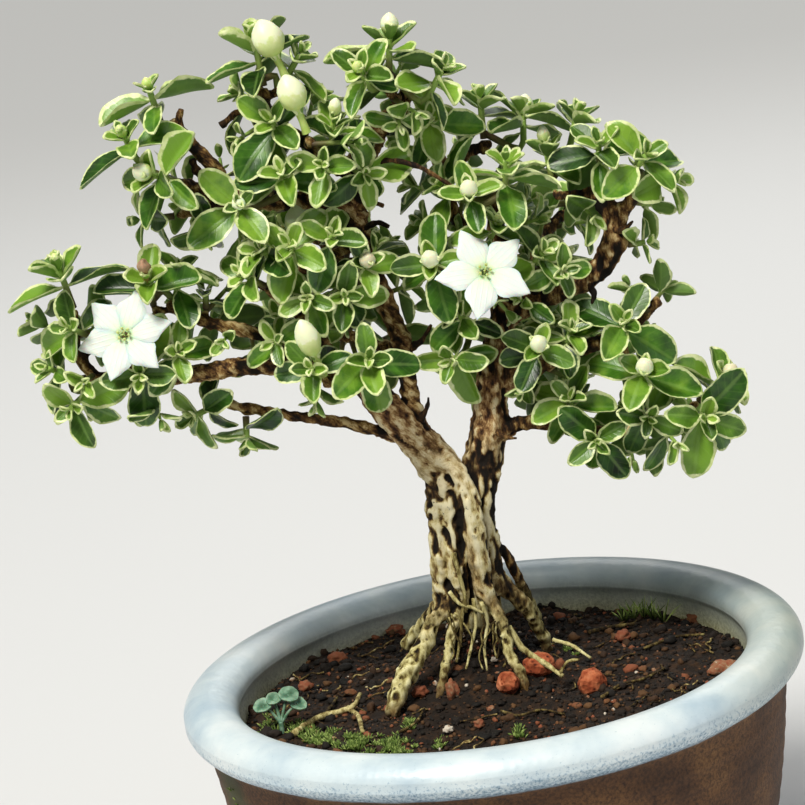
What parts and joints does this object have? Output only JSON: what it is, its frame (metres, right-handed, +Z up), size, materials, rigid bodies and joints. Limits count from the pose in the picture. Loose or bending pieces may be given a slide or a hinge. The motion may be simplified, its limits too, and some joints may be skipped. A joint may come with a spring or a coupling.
{
  "type": "myrtle bonsai",
  "caption": "Small flowering bonsai tree with glossy cream-edged leaves, white star blooms and exposed roots, growing in a round pot with a thick rolled rim.",
  "frame": {"origin": "centre of the pot's flat foot, on the surface it stands on", "axes": "+Z up along the pot's axis; -Y towards the viewer of the tree's front; +X to that viewer's right"},
  "size_m": [0.1031, 0.0888, 0.144],
  "materials": {
    "pot": "thick pale blue-white glaze on the rolled rim and inside, bare dark rust-brown stoneware below it",
    "soil": "rough dark granular soil with crumbs, moss and fine roots",
    "pebble": "rough matt red-orange pumice",
    "bark": "rough fissured bark, cream on the ridges and dark in the cracks",
    "leaf": "glossy green with a cream-white margin",
    "petal": "soft matt white",
    "bud": "soft satin cream, green towards the base",
    "seedling": "satin blue-green"
  },
  "bodies": {
    "root": {"bloom_1": "petal", "bloom_2": "petal", "bud_1": "bud", "bud_2": "bud", "bud_3": "bud", "bud_4": "bud", "pebble_1": "pebble", "pebble_2": "pebble", "pebble_3": "pebble", "pot": "pot", "seedling": "seedling", "shoot_01": "leaf", "shoot_02": "leaf", "shoot_03": "leaf", "shoot_04": "leaf", "shoot_05": "leaf", "shoot_06": "leaf", "shoot_07": "leaf", "shoot_08": "leaf", "shoot_09": "leaf", "shoot_10": "leaf", "shoot_11": "leaf", "shoot_12": "leaf", "shoot_13": "leaf", "shoot_14": "leaf", "shoot_15": "leaf", "shoot_16": "leaf", "shoot_17": "leaf", "shoot_18": "leaf", "shoot_19": "leaf", "shoot_20": "leaf", "shoot_21": "leaf", "shoot_22": "leaf", "shoot_23": "leaf", "shoot_24": "leaf", "shoot_25": "leaf", "shoot_26": "leaf", "shoot_27": "leaf", "shoot_28": "leaf", "shoot_29": "leaf", "shoot_30": "leaf", "shoot_31": "leaf", "shoot_32": "leaf", "shoot_33": "leaf", "shoot_34": "leaf", "shoot_35": "leaf", "shoot_36": "leaf", "shoot_37": "leaf", "shoot_38": "leaf", "shoot_39": "leaf", "shoot_40": "leaf", "shoot_41": "leaf", "shoot_42": "leaf", "shoot_43": "leaf", "shoot_44": "leaf", "shoot_45": "leaf", "shoot_46": "leaf", "shoot_47": "leaf", "soil": "soil", "trunk_and_branches": "bark"}
  },
  "joints": []
}
